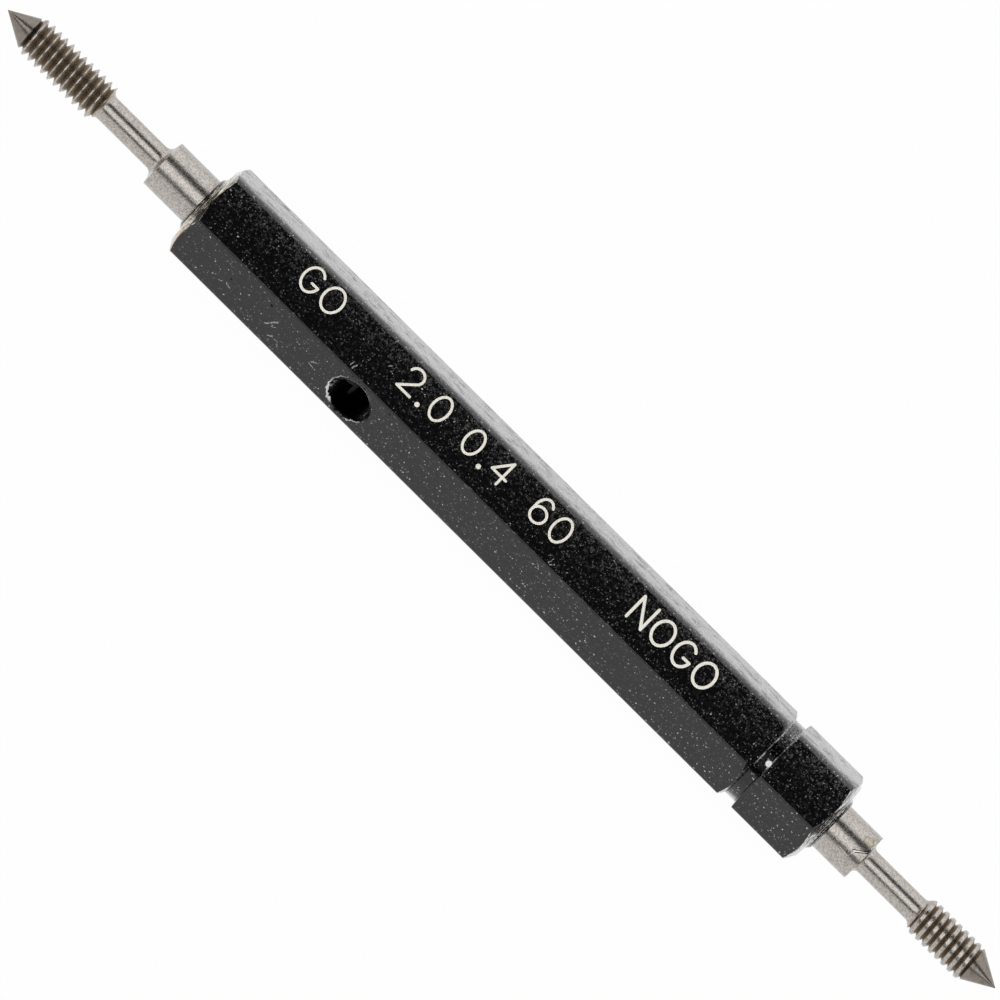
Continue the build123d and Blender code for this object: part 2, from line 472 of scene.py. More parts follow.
def makeHandleBody():
    rules = endRings(-1, handle["goTaperLength"], handle["goSocketDepth"])
    rules += ringRules()
    rules += reversed(endRings(1, handle["nogoTaperLength"], handle["nogoSocketDepth"]))
    perimeter = hexPerimeter()
    rings = []
    for rule in rules:
        spots = [(angle, *rule(radius)) for angle, radius in perimeter]
        rings.append([onAxis(handleCentre + x, angle, size) for angle, x, size in spots])
    return skinRings("hex_bar", rings)


def makeHoleCutter():
    # a drill right through, with a countersink at each side
    radius = handle["holeDiameter"] / 2
    sink = apothem - handle["holeChamfer"]
    end = apothem + handle["overrun"]
    wide = radius + handle["holeChamfer"] + handle["overrun"]
    outward = around(handle["holeFace"])
    sideways = Vector((0, -outward.z, outward.y))
    centre = Vector((holeCentre, 0, axisHeight))
    rings = []
    drop = sideways * handle["holeDrop"]
    angles = wholeTurn(handle["holeSegments"])
    arms = [Vector((math.cos(angle), 0, 0)) + sideways * math.sin(angle) for angle in angles]
    for along, size, shift in ((-end, wide, 0), (-sink, radius, 1), (sink, radius, 1), (end, wide, 0)):
        rings.append([(centre + outward * along + arm * size + drop * shift) * mm for arm in arms])
    return skinRings("hole_cutter", rings)


lettering = {
    "capSteps": 6,
    "dotSteps": 20,
    "depth": 0.05,
    "gap": 0.02,
    "height": 1.28,  # of the strokes' middle lines
    "baseline": -0.394,  # at the middle of the gauge
    "fall": 0.0098,  # the lines fall this much for each millimetre along
    "dot": 0.25,
    "runs": [
        {"text": "GO", "start": -13.58, "gap": 0.19, "stroke": 0.125},
        {"text": "2.0", "start": -7.09, "gap": 0.29, "stroke": 0.127},
        {"text": "0.4", "start": -3.18, "gap": 0.29, "stroke": 0.127},
        {"text": "60", "start": 1.21, "gap": 0.27, "stroke": 0.127},
        {"text": "NOGO", "start": 7.638, "gap": 0.222, "stroke": 0.145},
    ],
}
glyphWidths = {"G": 1.09, "O": 1.136, "N": 1.032, "0": 0.977, "2": 0.95, "4": 0.995, "6": 0.932, ".": 0.253}


def arc(centreX, centreY, radiusX, radiusY, start, end, steps=28):
    # points on an ellipse, in shares of the glyph's width and height
    turns = [math.radians(start + (end - start) * step / steps) for step in range(steps + 1)]
    return [(centreX + radiusX * math.cos(t), centreY + radiusY * math.sin(t)) for t in turns]


glyphStrokes = {
    "G": [arc(0.5, 0.5, 0.5, 0.5, 42, 346), [(0.985, 0.39), (0.59, 0.39)]],
    "O": [arc(0.5, 0.5, 0.5, 0.5, 0, 360)],
    "N": [[(0, 0), (0, 1)], [(0, 1), (1, 0)], [(1, 0), (1, 1)]],
    "0": [arc(0.5, 0.5, 0.5, 0.5, 0, 360)],
    "2": [arc(0.5, 0.71, 0.47, 0.29, 168, -38) + [(0, 0)], [(0, 0), (1, 0)]],
    "4": [[(0.74, 0), (0.74, 1)], [(0.74, 1), (0, 0.33)], [(0, 0.33), (1, 0.33)]],
    "6": [arc(0.5, 0.55, 0.5, 0.45, 40, 180) + [(0, 0.31)], arc(0.5, 0.31, 0.5, 0.31, 0, 360)],
}


def strokeOutline(path, width):
    # the outline of a round-ended stroke along a path, with both ends capped
    half = width / 2
    count = len(path)
    left, right = [], []
    for index, point in enumerate(path):
        ahead = path[min(index + 1, count - 1)] - path[max(index - 1, 0)]
        side = Vector((-ahead.y, ahead.x)).normalized() * half
        left.append(point + side)
        right.append(point - side)

    def cap(end, start):
        turns = [math.pi * step / lettering["capSteps"] for step in range(1, lettering["capSteps"])]
        return [end + Matrix.Rotation(-turn, 2) @ (start - end) for turn in turns]

    return left + cap(path[-1], left[-1]) + right[::-1] + cap(path[0], right[0])


def addOutline(shape, outline, level):
    return [shape.verts.new((p.x * mm, p.y * mm, level * mm)) for p in outline]


def joinOutlines(shape, here, there):
    for index in range(len(here)):
        after = (index + 1) % len(here)
        shape.faces.new((here[index], here[after], there[after], there[index]))


def addPrism(shape, outline, bottom, top):
    low, high = addOutline(shape, outline, bottom), addOutline(shape, outline, top)
    shape.faces.new(low[::-1])
    shape.faces.new(high)
    joinOutlines(shape, low, high)


def addRingPrism(shape, outer, inner, bottom, top):
    # a closed stroke, such as an O, has an outline inside and one outside
    levels = ((outer, bottom), (outer, top), (inner, top), (inner, bottom))
    rows = [addOutline(shape, outline, level) for outline, level in levels]
    for row in range(4):
        joinOutlines(shape, rows[row], rows[(row + 1) % 4])


def addStroke(shape, path, width, bottom, top):
    # an open path becomes a round-ended stroke, and a closed one a ring
    if (path[0] - path[-1]).length > width / 10:
        addPrism(shape, strokeOutline(path, width), bottom, top)
        return
    path = path[:-1]
    sides = []
    for spot in range(len(path)):
        ahead = path[(spot + 1) % len(path)] - path[spot - 1]
        sides.append(Vector((ahead.y, -ahead.x)).normalized() * width / 2)
    outer, inner = [p + s for p, s in zip(path, sides)], [p - s for p, s in zip(path, sides)]
    addRingPrism(shape, outer, inner, bottom, top)


def makeLetterCutters():
    # strokes that cross lie in two cutters, so that no cutter crosses itself
    surface = axisHeight + apothem
    bottom, top = surface - lettering["depth"], surface + lettering["gap"]
    shapes = [bmesh.new(), bmesh.new(), bmesh.new()]
    for run in lettering["runs"]:
        left = run["start"]
        for letter in run["text"]:
            width = glyphWidths[letter]
            stroke = run["stroke"]
            base = lettering["baseline"] - lettering["fall"] * (left + width / 2) + stroke / 2

            def place(point):
                return Vector((
                    left + stroke / 2 + point[0] * (width - stroke), base + point[1] * lettering["height"]
                ))

            if letter == ".":
                middle = Vector((left + width / 2, base))
                outline = [middle + spoke(t) * lettering["dot"] / 2 for t in wholeTurn(lettering["dotSteps"])]
                addPrism(shapes[0], outline, bottom, top)
            for index, share in enumerate(glyphStrokes.get(letter, [])):
                addStroke(shapes[index], [place(point) for point in share], stroke, bottom, top)
            left += width + run["gap"]
    cutters = []
    for number, shape in enumerate(shapes):
        bmesh.ops.recalc_face_normals(shape, faces=shape.faces)
        mesh = bpy.data.meshes.new(f"letter_cutter_{number}")
        shape.to_mesh(mesh)
        shape.free()
        cutters.append(addObject(mesh.name, mesh))
    return cutters


def cutWith(piece, cutter):
    # applies one exact boolean, and takes the cutter away
    modifier = piece.modifiers.new("cut", "BOOLEAN")
    modifier.operation = "DIFFERENCE"
    modifier.solver = "EXACT"
    modifier.object = cutter
    depsgraph = bpy.context.evaluated_depsgraph_get()
    result = bpy.data.meshes.new_from_object(piece.evaluated_get(depsgraph))
    piece.modifiers.remove(modifier)
    piece.data = result
    bpy.data.objects.remove(cutter)


def setSlots(piece, materials, index):
    for material in materials:
        piece.data.materials.append(material)
    for polygon in piece.data.polygons:
        polygon.material_index = index


def smoothByAngle(piece, degrees):
    piece.data.shade_smooth()
    piece.data.set_sharp_from_angle(angle=math.radians(degrees))


def onFace(faceAngle, along, across):
    # a point on one of the flats, from the axis: across is measured up the face as the camera sees it
    return around(faceAngle, along, apothem) + around(faceAngle - 90) * across


blackFinish = {
    "colour": (0.0015, 0.0015, 0.0018, 1),
    "roughness": 0.1,
    "bareRoughness": 0.16,  # more on bare metal
    "shader": {"IOR": 1.5, "Coat IOR": 4.0, "Coat Roughness": 0.2, "Sheen Weight": 0.4, "Sheen Roughness": 0.25},
    "coatFacing": (0.58, 0.735),  # the coat shows where the surface turns away
    "coatPatches": (0.48, 0.76, 0.0, 1.1),
    "patchStretch": (1.1, 3.0, 3.0),
    # pale specks: painted glints, also the colour of the dust and of the painted light on the +Y side
    "speckColour": (0.6, 0.6, 0.605, 1),
    "glintSpecks": {"Spacing": 0.145, "Size": 0.27, "Wobble": 0.14},
    "glintShare": (0.45, 0.82),  # towards the GO end and the NOGO end
    "dust": {"Spacing": 0.1, "Size": 0.4, "Wobble": 0.12},
    "dustAndLightShare": (0.3, 0.55),  # over the middle, and how much more towards the +Y edge, where it is partly painted light
    "peelScale": 7.0,
    "peelHeight": 0.004,
    "streakStretch": (0.5, 6.0, 6.0),
    "streakHeight": 0.002,
    "bareColour": (0.66, 0.66, 0.65, 1),  # at the NOGO end, and on the ring, where it paints highlights
    "creamColour": (0.8, 0.72, 0.58, 1),  # at the GO end
    "rustColour": (0.42, 0.24, 0.11, 1),
    # white of the painted highlight dot on the ring's floor
    "highlightDotColour": (0.97, 0.97, 0.96, 1),
    # pale scratches, and the painted highlights on the hole's rim
    "scratchAndHighlightColour": (0.88, 0.88, 0.86, 1),
    "scratchStrength": 0.38,
    "wobble": (5.0, 0.19),  # how finely and how far scratches, pits and the hole's rim wander
    "highlightDot": {"along": 0.19, "turn": 105, "radius": 0.142},  # from the ring's middle, round the axis
}
# marks on the flats, as (face, along, across) of both ends and the width
scratches = [
    (150, -13.2, -0.3, -12.8, 0.3, 0.05), (150, -12.95, -0.25, -12.6, 0.05, 0.03),
    (150, -12.75, -0.75, -12.55, -0.62, 0.045), (150, -12.55, -0.62, -12.2, -0.62, 0.04),
    (150, -12.2, -0.62, -12.1, -0.85, 0.04), (150, -10.55, -0.05, -10.2, 0.25, 0.035),
    (150, -10.6, -0.1, -10.25, -0.2, 0.035), (150, -15.75, -0.1, -15.65, -0.3, 0.035),
    (150, -15.65, -0.3, -15.45, -0.3, 0.03), (150, 3.2, 1.02, 3.45, 0.85, 0.03),
    (90, 3.52, -1.2, 3.58, -0.9, 0.035), (90, 3.62, -1.25, 3.78, -1.05, 0.03),
    (90, -8.95, -1.18, -8.9, -0.95, 0.05), (90, -9.1, -1.15, -9.08, -1.0, 0.035),
    (90, -7.85, 0.1, -7.75, 0.18, 0.04), (90, 16.6, -0.9, 16.61, -0.91, 0.05),
    (30, -14.5, -0.7, -13.1, -0.6, 0.04), (30, -5.2, 0.2, -3.4, 0.3, 0.03),
    (30, 4.1, -0.4, 6.0, -0.35, 0.03), (30, 13.6, 0.35, 15.2, 0.2, 0.03),
    (90, 20.6, -0.72, 20.61, -1.0, 0.045), (90, 20.6, -1.05, 20.62, -1.25, 0.03),
    (90, 16.43, -0.86, 16.47, -1.3, 0.02), (90, 17.29, -0.86, 17.25, -1.3, 0.02),
]
pits = [
    (150, -15.69, 0.17, 0.07), (150, -13.54, 0.78, 0.09), (150, -6.33, 1.16, 0.07), (30, -16.23, 0.91, 0.24),
    (30, -11.77, 0.44, 0.17), (30, -8.3, 0.1, 0.13), (30, 2.6, -0.5, 0.12), (30, 9.4, 0.5, 0.12),
    (90, -13.9, 0.9, 0.05), (150, -8.7, 1.22, 0.06), (150, -8.3, 1.24, 0.06), (150, -7.9, 1.22, 0.05),
]
endWear = {
    "edge": {"Width": 0.032, "Patch": 0.35, "Cover": 0.52},
    "depth": (0.62, 0.52),  # behind the mouth, where the turned end stops
    "bareDepth": (0.36, 0.56),  # where the black begins again, before the chamfer's outer corners
    "innerRadius": (1.34, 1.42),
    "hubRadius": (1.62, 1.5),
    "keptSide": (0, -0.2588, 0.9659),  # the way that the side with most black faces
    "keptRange": (0.9, 0.96),
    "keptCover": -0.07,  # less wear there
    "keptEdge": -0.8,
    "blotchShare": 0.35,
    "turnedShare": 0.85,
    "metalShown": (0.55, 0.62),  # how worn the metal is where it shows bare
    "dark": (0.66, 0.5),
}
# painted highlights and painted shade in the marking ring
ringLightMarks = {
    "line": {"Width": 0.042, "Patch": 0.2, "Cover": 0.55},
    "lineBreaks": (0.42, 0.58, 0.12, 0.5),
    "paintedHighlight": ((0.31, 0.25), (0.7, 1.25), (0.4, 0.7)),  # from the ring's middle, along Y, and in patches
    "paintedHighlightStrength": 0.4,
    "paintedShade": ((0.34, 0.3), (-1.33, -1.25), (1.25, 0.9, 0.3, 0.85)),  # from the ring's middle, and along Y twice
}


def hexDistance(parts):
    # how far inside the hexagon's flats a point is
    reaches = []
    for turn in (30, 90, 150):
        facing = around(turn)
        reaches.append(absolute(timesPlus(parts["Z"], facing.z, times(parts["Y"], facing.y))))
    return minus(apothem, largest(*reaches))


def layMarks(position, marks):
    # every mark is (face, along, across) of both its ends, and a width
    mask = 0.0
    for face, startAlong, startAcross, endAlong, endAcross, width in marks:
        mask = useGroup(scratchGroup, {
            "Under": mask, "Position": position, "Start": onFace(face, startAlong, startAcross),
            "End": onFace(face, endAlong, endAcross), "Width": width,
        })["Mask"]
    return mask


def wornEnds(position, parts, radius, inside):
    # bare metal on the turned ends and along their outer edges, and what has stayed dark there
    depth = minus(halfLength, absolute(minus(parts["X"], handleCentre)))
    slope = math.tan(math.radians(handle["chamferAngle"]))
    chamfer = timesPlus(radius, slope, faceDepth - faceRadius * slope)
    behind = absolute(minus(depth, chamfer))
    edge = useGroup(wornEdgeGroup, {
        "Position": position, "Distance": plus(behind, inside), **endWear["edge"],
    })["Mask"]
    # the part that faces up has kept its black, but for turned streaks
    outward = vectorCalc("NORMALIZE", vectorCalc("MULTIPLY", position, (0, 1, 1)))
    middle = vectorCalc("DOT_PRODUCT", outward, endWear["keptSide"])
    kept = ramp(middle, *endWear["keptRange"])
    onEnd = times(ramp(depth, *endWear["depth"]), ramp(inside, 0.0, 0.03))
    reach = ramp(parts["Y"], -1.5, -2.3, *endWear["bareDepth"])
    turnedPart = times(onEnd, ramp(minus(depth, reach), 0.03, 0.0), ramp(radius, *endWear["innerRadius"]))
    blotches = noise(position, 6.5, 4.0, 0.7)["Fac"]
    spun = joinVector(times(radius, 18.0), times(parts["Y"], 1.3), times(parts["Z"], 1.3))
    turned = noise(spun, 1.0, 4.0, 0.7)["Fac"]
    cover = timesPlus(blotches, endWear["blotchShare"], times(turned, endWear["turnedShare"]))
    hub = ramp(radius, *endWear["hubRadius"])
    cover = timesPlus(largest(kept, hub), endWear["keptCover"], cover)
    metalShown = times(turnedPart, ramp(cover, *endWear["metalShown"]))
    edge = times(edge, timesPlus(kept, endWear["keptEdge"], 1.0))
    dark = times(onEnd, ramp(cover, *endWear["dark"]), largest(ramp(middle, 0.6, 0.9), hub))
    return largest(metalShown, edge), dark


def within(ranges, *values):
    return times(*[ramp(value, *limits) for value, limits in zip(values, ranges)])


def ringHighlightAndShade(position, parts, radius):
    # painted highlight and painted shade: thin lines where the ring's floor meets its walls, bright towards the +Y
    # side, which faces the light, and dark on the other
    away = absolute(minus(parts["X"], ringCentre))
    gap = absolute(minus(away, handle["ringFloorWidth"] / 2))
    high = times(absolute(minus(radius, ringFloor)), 0.5)
    line = useGroup(wornEdgeGroup, {"Position": position, "Distance": plus(gap, high), **ringLightMarks["line"]})["Mask"]
    side = ramp(timesPlus(parts["Y"], 0.87, times(parts["Z"], 0.5)), 0.0, 0.3)
    bright = times(line, side, ramp(noise(position, 5.0, 2.0)["Fac"], *ringLightMarks["lineBreaks"]))
    # painted highlight on the floor towards the +Y side, and painted shade, a shineless black, in its middle
    fine = noise(position, 9.0, 4.0, 0.7)["Fac"]
    paintedHighlight = within(ringLightMarks["paintedHighlight"], away, parts["Y"], fine)
    paintedShade = within(ringLightMarks["paintedShade"], away, parts["Y"], parts["Y"])
    bright = largest(bright, times(paintedHighlight, ringLightMarks["paintedHighlightStrength"]))
    return bright, largest(paintedShade, times(line, minus(1.0, side)))


def holeHighlightAndShade(position):
    # painted highlights: bright crescents on the drift hole's rim; painted shade: the dark lower side of its
    # countersink
    centre = onFace(handle["holeFace"], holeCentre, 0)
    sink = handle["holeChamfer"]
    inner = handle["holeDiameter"] / 2
    outer = inner + sink

    def arcMark(middle, half, radius, width, below=0.0, under=0.0):
        # its middle and half of it are in degrees on the flat, from +X
        turn = math.radians(middle)
        return useGroup(arcGroup, {
            "Under": under, "Position": position, "Centre": centre - around(handle["holeFace"]) * below,
            "Toward": onFace(handle["holeFace"], holeCentre + math.cos(turn), math.sin(turn)) - centre,
            "Turn": math.cos(math.radians(half)), "Radius": radius, "Width": width,
        })["Mask"]

    crescents = 0.0
    for mark in (
        (206, 32, outer - 0.02, 0.05), (66, 20, inner + 0.03, 0.05, sink), (98, 12, inner + 0.03, 0.035, sink),
        (-50, 14, outer, 0.02), (150, 8, outer, 0.03),
    ):
        crescents = arcMark(*mark, under=crescents)
    return crescents, arcMark(-80, 80, inner + sink / 2, sink / 2 + 0.04)


def insideHole(parts, inside):
    # the drill's wall, away from the flats
    gap = absolute(minus(parts["X"], holeCentre))
    return times(ramp(inside, 0.18, 0.22), ramp(gap, 1.3, 1.2))


def makeBlackFinish():
    material, tree, shader = newMaterial("blackenedBar")
    position = objectPosition(tree)
    parts = splitVector(position)
    radius = radiusOf(position)
    inside = absolute(hexDistance(parts))

    # painted glints: pale specks stand in for glints off the fine grain; they grow denser towards the NOGO end,
    # and towards the upper +Y edge as painted light
    clouds = noise(position, 0.9)["Fac"]
    few, many = blackFinish["glintShare"]
    share = plus(
        timesPlus(clouds, 0.7, few - 0.35), ramp(parts["X"], goFace, nogoFace, 0.0, many - few),
        ramp(parts["Y"], 0.2, 1.3, 0.0, 0.1),
    )
    glintSpecks = useGroup(grainGroup, {"Position": position, "Share": share, **blackFinish["glintSpecks"]})["Mask"]
    # dust, laid thicker towards the +Y edge as painted light
    least, more = blackFinish["dustAndLightShare"]
    dustAndLightShare = plus(least, ramp(parts["Y"], 0.1, 1.2, 0.0, more))
    dust = useGroup(grainGroup, {"Position": position, "Share": dustAndLightShare, **blackFinish["dust"]})["Mask"]
    peel = noise(position, blackFinish["peelScale"], 4.0, 0.7)["Fac"]
    streaks = noise(vectorCalc("MULTIPLY", position, blackFinish["streakStretch"]), 1.0)["Fac"]

    wavy = shaken(position, *blackFinish["wobble"])
    dents = layMarks(wavy, [(face, x, v, x + size / 2, v, size) for face, x, v, size in pits])
    ringHighlight, ringShade = ringHighlightAndShade(position, parts, radius)
    endBright, endDark = wornEnds(position, parts, radius, inside)
    rimHighlight, rimShade = holeHighlightAndShade(wavy)
    # painted shade: the drill's wall and the lower side of the countersink are made black and shineless
    wall = insideHole(parts, inside)
    holeShade = largest(wall, rimShade)
    # dark: pits and kept black at the ends, with painted shade in the hole and in the ring
    dark = largest(dents, ringShade, holeShade, endDark)
    # bare metal worn through at the ends, and bare-metal colour as painted highlights on the ring
    metalShown = largest(endBright, ringHighlight)
    scratched = times(layMarks(wavy, scratches), blackFinish["scratchStrength"])
    # pale scratches, and painted highlights on the hole's rim
    scratchesAndHighlights = largest(scratched, times(rimHighlight, minus(1.0, wall)))
    # painted highlight: a crisp white dot on the ring's floor
    dot = blackFinish["highlightDot"]
    dotHighlight = useGroup(arcGroup, {
        "Position": position, "Centre": around(dot["turn"], ringCentre + dot["along"], ringFloor),
        "Radius": dot["radius"], "Width": 0.02,
    })["Inside"]

    # painted light: the pale mottle and the dust grow lighter towards the +Y side, which faces the light
    mottleAndLitSide = times(ramp(peel, 0.5, 0.64), ramp(parts["Y"], -0.6, 1.1, 0.02, 0.09))
    dustAndLitSide = times(dust, ramp(parts["Y"], 1.3, 1.6, 0.3, 0.9))
    speckled = times(calc("ADD", plus(glintSpecks, dustAndLitSide), mottleAndLitSide, clamp=True), minus(1.0, holeShade))
    colour = mixColour(speckled, blackFinish["colour"], blackFinish["speckColour"])
    rust = ramp(plus(peel, parts["Y"]), -1.1, -1.6)
    metal = mixColour(rust, blackFinish["creamColour"], blackFinish["rustColour"])
    metal = mixColour(ramp(parts["X"], 0.0, 1.0), metal, blackFinish["bareColour"])
    for mask, tone in (metalShown, metal), (scratchesAndHighlights, blackFinish["scratchAndHighlightColour"]), (dotHighlight, blackFinish["highlightDotColour"]):
        colour = mixColour(mask, colour, tone)
    plain = times(largest(metalShown, dark), minus(1.0, largest(dotHighlight, scratchesAndHighlights)))
    smooth = timesPlus(clouds, 0.08, blackFinish["roughness"] - 0.04)
    facing = addNode(tree, "ShaderNodeLayerWeight", {}, {"Blend": 0.5}).outputs["Facing"]
    patches = noise(vectorCalc("MULTIPLY", position, blackFinish["patchStretch"]), 1.0, 4.0, 0.7)["Fac"]
    worn = timesPlus(peel, 0.4, patches)
    coat = times(
        ramp(facing, *blackFinish["coatFacing"]), ramp(worn, *blackFinish["coatPatches"]), minus(1.0, dark),
    )
    setSockets(shader, {
        "Base Color": colour,
        "Metallic": plain,  # dark places count as metal, so that they shine less
        "Roughness": timesPlus(metalShown, blackFinish["bareRoughness"], smooth),
        "Coat Weight": timesPlus(glintSpecks, -0.5, coat, clamp=True),
        **blackFinish["shader"],
    })
    addBump(shader, [(peel, blackFinish["peelHeight"]), (streaks, blackFinish["streakHeight"])])
    return material


creamFill = {
    "colour": (0.98, 0.96, 0.89, 1),
    "grimeColour": (0.74, 0.69, 0.58, 1),
    "grime": (0.55, 0.8),
    "roughness": 0.75,
    "height": 0.01,
}


def makeFill():
    # cream paint in the engraving
    material, tree, shader = newMaterial("engravingFill")
    grime = noise(objectPosition(tree), 3.0, 4.0, 0.7)["Fac"]
    colour = mixColour(ramp(grime, *creamFill["grime"]), creamFill["colour"], creamFill["grimeColour"])
    setSockets(shader, {"Base Color": colour, "Roughness": creamFill["roughness"]})
    addBump(shader, [(grime, creamFill["height"])])
    return material


def makeHandle():
    materials = [makeBlackFinish(), makeFill()]
    body, hole = makeHandleBody(), makeHoleCutter()
    setSlots(body, materials, 0)
    setSlots(hole, materials, 0)
    cutWith(body, hole)
    for cutter in makeLetterCutters():
        setSlots(cutter, materials, 1)
        cutWith(body, cutter)
    smoothByAngle(body, 25)
    keepFlat = body.modifiers.new("keep flats flat", "WEIGHTED_NORMAL")
    keepFlat.keep_sharp = True
    keepFlat.weight = 100
    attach(body, "root")
    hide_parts("hex_handle")
    return body


hexBar = makeHandle()
print("handle made:", len(hexBar.data.polygons), "faces")


goMember = {
    "name": "go_gauge",
    "node": "go_member",
    "sign": -1,
    "shankLength": 10.325,
    "collarLength": 2.47,
    "shoulder": (0.36, 78),  # fillet radius, and the angle that it reaches to the axis
    "neckLength": 3.5,
    "neckDiameter": 1.29,
    "runout": (0.31, 75),
    "threadLength": 4.64,
    "pitchDiameter": 1.74,
    "crestFlat": 0.05,
    "crestTurn": 331,
    "groove": (0.05, 0.16),  # depth below the crests where the painted shade begins, and where it is full
    "stains": [(-0.12, 33, 0.22, 0.3)],  # along from the handle, turn from the top, radius, strength
    "lines": [],  # on the collar: (along, turn) of both ends, width, and whether it is dark
}
nogoMember = {
    "name": "nogo_gauge",
    "node": "nogo_member",
    "sign": 1,
    "shankLength": 10.2,
    "collarLength": 2.045,
    "shoulder": (0.25, 87),
    "neckLength": 3.28,
    "neckDiameter": 1.28,
    "runout": (0.27, 45),
    "threadLength": 3.46,
    "pitchDiameter": 1.837,
    "crestFlat": 0.158,
    "crestTurn": 103,
    "groove": (0.03, 0.12),
    "stains": [(1.7, 18, 0.25, 0.35), (2.1, -20, 0.2, 0.25), (2.0, 30, 0.2, 0.3)],
    "lines": [
        (1.42, -19, 1.98, 0.8, 0.05, True), (1.56, -19, 2.12, 0.8, 0.045, True),
        (1.49, -19, 2.05, 0.8, 0.035, False), (0.9, -34, 1.45, -35, 0.03, False),
        (1.45, -35, 1.5, -24, 0.03, False),
    ],
}
threadForm = {
    "pitch": 0.4,
    "flankSlope": 1 / math.tan(math.radians(30)),
    "pointSlope": math.tan(math.radians(30)),
    "crestRounding": 0.012,
    "flankRows": 5,
    "columns": 144,
    "filletSteps": 10,
    "pointSteps": 6,
    "taperShare": 1 / 50,
    "endChamfer": 0.1,
}


def concaveRise(foot, startRadius, endRadius, fillet, angle, sense):
    # points of a concave fillet from a neck, and of the straight rise after it
    points = []
    for step in range(threadForm["filletSteps"] + 1):
        turn = math.radians(angle * step / threadForm["filletSteps"])
        points.append((foot + sense * fillet * math.sin(turn), startRadius + fillet * (1 - math.cos(turn))))
    run = (endRadius - points[-1][1]) / math.tan(math.radians(angle))
    points.append((points[-1][0] + sense * run, endRadius))
    return points


def blankProfile(member, crest):
    # (along, radius) of the turned blank, from the shank's end to the point's tip
    neck = member["neckDiameter"] / 2
    collar = handle["collarRadius"]
    start = member["collarLength"] + member["neckLength"]
    end = start + member["threadLength"]
    inner = -member["shankLength"]
    shankEnd = collar + inner * threadForm["taperShare"] / 2
    chamfer = threadForm["endChamfer"]
    points = [(inner, shankEnd - chamfer), (inner + chamfer, shankEnd), (0, collar)]
    shoulder = concaveRise(0, neck, collar, *member["shoulder"], -1)
    shift = member["collarLength"] - shoulder[-1][0]
    points += [(along + shift, radius) for along, radius in reversed(shoulder)]
    points += concaveRise(start, neck, crest, *member["runout"], 1)
    points += [(end, crest), (end + crest / threadForm["pointSlope"], 0)]
    return points


def radiusAt(points, along):
    for (a0, r0), (a1, r1) in zip(points, points[1:]):
        if a0 <= along <= a1 and a1 > a0:
            return r0 + (r1 - r0) * (along - a0) / (a1 - a0)
    return points[-1][1]


def crestShares(member):
    # rows over one pitch, in pitches from a crest's middle, with the root first
    flat = member["crestFlat"] / 2 / threadForm["pitch"]
    rounding = threadForm["crestRounding"] / threadForm["pitch"]
    rows = [0.0, flat - rounding / 2, flat, flat + rounding]
    for step in range(1, threadForm["flankRows"]):
        rows.append(flat + rounding + (0.5 - flat - rounding) * step / threadForm["flankRows"])
    return [-0.5] + [-row for row in reversed(rows[1:])] + rows


def crestRadius(member):
    rise = (threadForm["pitch"] / 4 - member["crestFlat"] / 2) * threadForm["flankSlope"]
    return member["pitchDiameter"] / 2 + rise


def makeMember(member):
    pitch, slope = threadForm["pitch"], threadForm["flankSlope"]
    columns = threadForm["columns"]
    crest = crestRadius(member)
    root = member["pitchDiameter"] / 2 - pitch / 4 * slope
    profile = blankProfile(member, crest)
    start = member["collarLength"] + member["neckLength"]
    tip = profile[-1][0]
    face = handleCentre + member["sign"] * halfLength
    turns = wholeTurn(columns)

    def place(along, turn, radius):
        # turned half round for the GO end, so that both threads stay right-hand
        return Vector((
            face + member["sign"] * along,
            member["sign"] * radius * math.sin(turn),
            axisHeight - radius * math.cos(turn),
        )) * mm

    def ring(along, radius):
        return [place(along, turn, radius) for turn in turns]

    def threadRadius(share):
        # share is in pitches from the nearest crest's middle
        drop = abs(share) * pitch - member["crestFlat"] / 2
        rounding = threadForm["crestRounding"]
        if drop <= -rounding / 2:
            return crest
        if drop < rounding:
            return crest - (drop + rounding / 2) ** 2 / (1.5 * rounding) * slope * 0.66
        return crest - drop * slope

    # plain rings up to the thread
    threadFrom = start - pitch / 2
    threadTo = tip - root * 0.97 / threadForm["pointSlope"]
    plain = [(along, radius) for along, radius in profile if along < threadFrom]
    plain.append((threadFrom, member["neckDiameter"] / 2))
    points = [point for along, radius in plain for point in ring(along, radius)]
    faces = ringFaces(len(plain), columns) + [tuple(range(columns))]

    # the thread is one skewed sheet: its last column meets its first one pitch further on
    base = len(points)
    shares = crestShares(member)
    perPitch = len(shares)
    crestAt = member["crestTurn"] / 360
    first = math.floor((threadFrom - start) / pitch + crestAt - 1) - 1
    last = math.ceil((threadTo - start) / pitch + crestAt) + 2
    rows = [(whole + share, share) for whole in range(first, last) for share in shares]
    for whole, share in rows:
        for turn in turns:
            along = start + pitch * (whole + turn / (2 * math.pi) - crestAt)
            along = min(max(along, threadFrom), threadTo)
            points.append(place(along, turn, min(radiusAt(profile, along), threadRadius(share))))
    for row in range(len(rows) - 1):
        for column in range(columns):
            a = base + row * columns + column
            if column + 1 < columns:
                b = a + 1
            elif row + 1 + perPitch < len(rows):
                b = base + (row + perPitch) * columns
            else:
                continue
            faces.append((a, b, b + columns, a + columns))

    # the rest of the point
    base = len(points)
    steps = threadForm["pointSteps"]
    for step in range(steps):
        along = threadTo + (tip - threadTo) * step / steps
        points += ring(along, radiusAt(profile, along))
    faces += ringFaces(steps, columns, base)
    last = len(points) - columns
    faces += [(last + column, last + (column + 1) % columns, len(points)) for column in range(columns)]
    points.append(place(tip, 0, 0))
    piece = solidFrom(member["name"], points, faces)
    smoothByAngle(piece, 40)
    return piece


